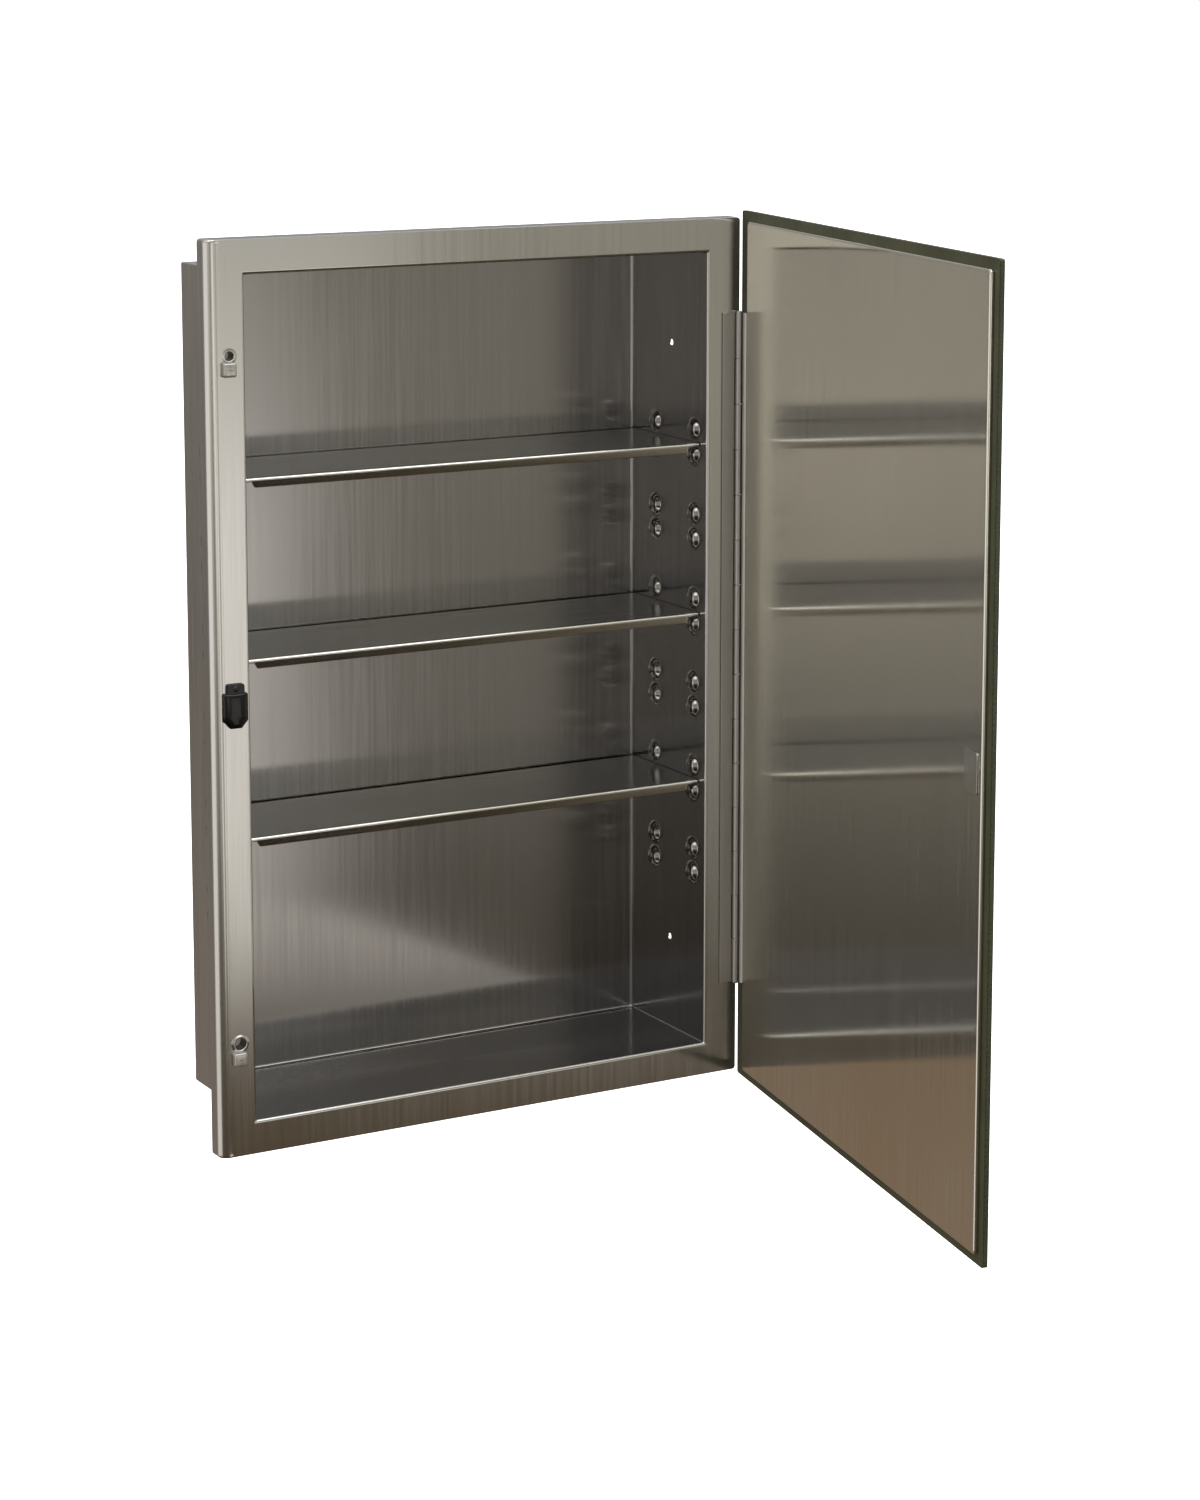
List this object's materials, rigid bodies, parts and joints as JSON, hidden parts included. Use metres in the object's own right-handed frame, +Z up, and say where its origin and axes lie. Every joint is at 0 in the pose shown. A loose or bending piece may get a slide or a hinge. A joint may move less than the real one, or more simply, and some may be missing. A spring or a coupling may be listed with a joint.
{
  "type": "medicine cabinet",
  "caption": "Recessed sheet-steel medicine cabinet with a frameless mirror door on a continuous hinge, removable steel shelves on embossed supports and a magnetic catch.",
  "frame": {"origin": "centre of the cabinet's flat rear face", "axes": "+Y out of the rear face into the wall, +Z up along the long side, +X to the right seen from the room, towards the hinge"},
  "size_m": [0.4018, 0.4979, 0.6096],
  "materials": {
    "cabinet_steel": "satin stainless sheet, lightly brushed",
    "shelf_steel": "satin stainless sheet",
    "hinge_steel": "bright rolled steel",
    "bumper_clear": "translucent, smooth",
    "catch_black": "moulded, semi-gloss black",
    "magnet_ferrite": "matt dark grey ferrite",
    "pole_steel": "plain steel",
    "rivet_black": "blackened",
    "pan_steel": "satin stainless sheet, lightly wavy",
    "mirror_silvered": "silvered float glass, ground edges",
    "backing_green": "dark olive protective film",
    "foam_tape": "matt foam",
    "strike_nickel": "bright plated steel"
  },
  "bodies": {
    "cabinet": {"cabinet_body": "cabinet_steel", "hinge_frame_leaf": "hinge_steel", "hinge_pin": "hinge_steel", "catch_housing": "catch_black", "catch_magnet": "magnet_ferrite", "catch_pole_left": "pole_steel", "catch_pole_right": "pole_steel", "catch_rivet": "rivet_black", "bumper_upper": "bumper_clear", "bumper_lower": "bumper_clear"},
    "door": {"door_pan": "pan_steel", "hinge_door_leaf": "hinge_steel", "mirror_backing": "backing_green", "mirror_glass": "mirror_silvered", "mirror_tape_top": "foam_tape", "mirror_tape_bottom": "foam_tape", "mirror_tape_hinge_side": "foam_tape", "mirror_tape_free_side": "foam_tape", "strike_plate": "strike_nickel"},
    "shelf_upper": {"shelf_upper": "shelf_steel"},
    "shelf_middle": {"shelf_middle": "shelf_steel"},
    "shelf_lower": {"shelf_lower": "shelf_steel"}
  },
  "joints": [
    {"name": "door_hinge", "type": "hinge", "parent": "cabinet", "child": "door", "pos_m": [0.1947, -0.1049, 0], "axis": [0, 0, 1], "range_deg": [-79.7, 22]},
    {"name": "shelf_upper_slide", "type": "slide", "parent": "cabinet", "child": "shelf_upper", "axis": [0, -1, 0], "range_m": [0, 0.012]},
    {"name": "shelf_middle_slide", "type": "slide", "parent": "cabinet", "child": "shelf_middle", "axis": [0, -1, 0], "range_m": [0, 0.012]},
    {"name": "shelf_lower_slide", "type": "slide", "parent": "cabinet", "child": "shelf_lower", "axis": [0, -1, 0], "range_m": [0, 0.012]}
  ]
}
